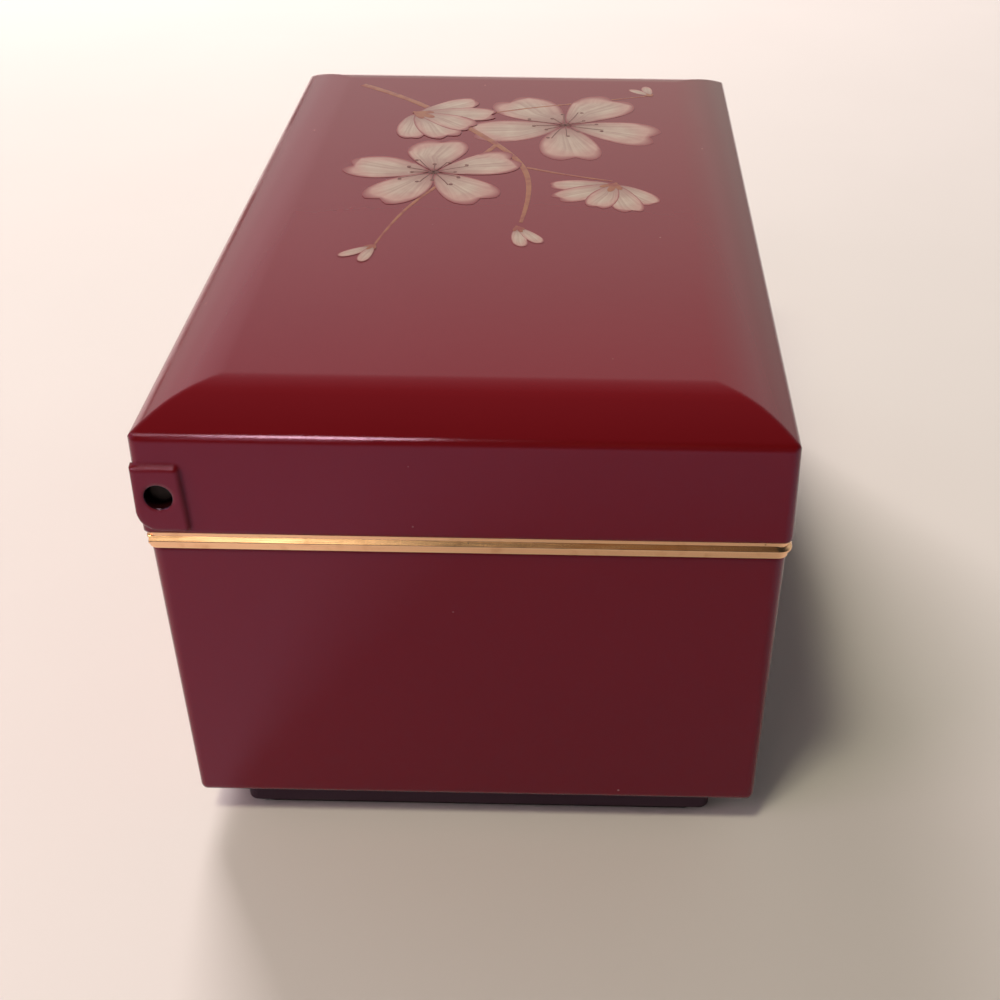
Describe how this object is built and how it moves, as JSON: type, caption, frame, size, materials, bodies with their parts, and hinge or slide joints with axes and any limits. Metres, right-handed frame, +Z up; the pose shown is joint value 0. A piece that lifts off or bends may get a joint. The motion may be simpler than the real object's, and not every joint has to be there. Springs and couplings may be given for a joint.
{
  "type": "hinged-lid jewelry box",
  "caption": "Small lacquered jewelry box with a bevelled hinged lid, brass trims, a mirror in the lid, ring rolls and lined wells.",
  "frame": {"origin": "centre of the rectangle the box stands on, at the underside of its felt", "axes": "+X along the box, parallel to the hinge line; -Y out of the front that opens, +Y out of the hinged back; +Z up"},
  "size_m": [0.1284, 0.0757, 0.0631],
  "materials": {
    "lacquer": "deep burgundy lacquer, high gloss",
    "dark_lacquer": "near-black lacquer",
    "brass": "polished",
    "pin_steel": "darkened",
    "felt": "black felt",
    "velvet": "crimson velvet on card",
    "roll_velvet": "crimson velvet over foam",
    "card": "grey board",
    "mirror": "silvered glass"
  },
  "bodies": {
    "base": {"base_shell": "lacquer", "base_trim": "brass", "hinge_pin_left": "pin_steel", "hinge_pin_right": "pin_steel", "plinth": "dark_lacquer", "plinth_screws": "pin_steel", "base_felt": "felt", "floor_lining": "velvet", "front_lining": "velvet", "back_lining": "velvet", "left_lining": "velvet", "right_lining": "velvet", "cross_divider": "velvet", "well_divider": "velvet", "ring_bed": "velvet", "ring_rolls": "roll_velvet"},
    "lid": {"lid_shell": "lacquer", "lid_trim": "brass", "lid_lining": "velvet", "lid_front_lining": "velvet", "lid_back_lining": "velvet", "lid_left_lining": "velvet", "lid_right_lining": "velvet", "mirror_backing": "card", "mirror_glass": "mirror", "mirror_frame": "brass"}
  },
  "joints": [
    {"name": "lid_hinge", "type": "hinge", "parent": "base", "child": "lid", "pos_m": [0, 0.0349, 0.05255], "axis": [-1, 0, 0], "range_deg": [0, 97]}
  ]
}
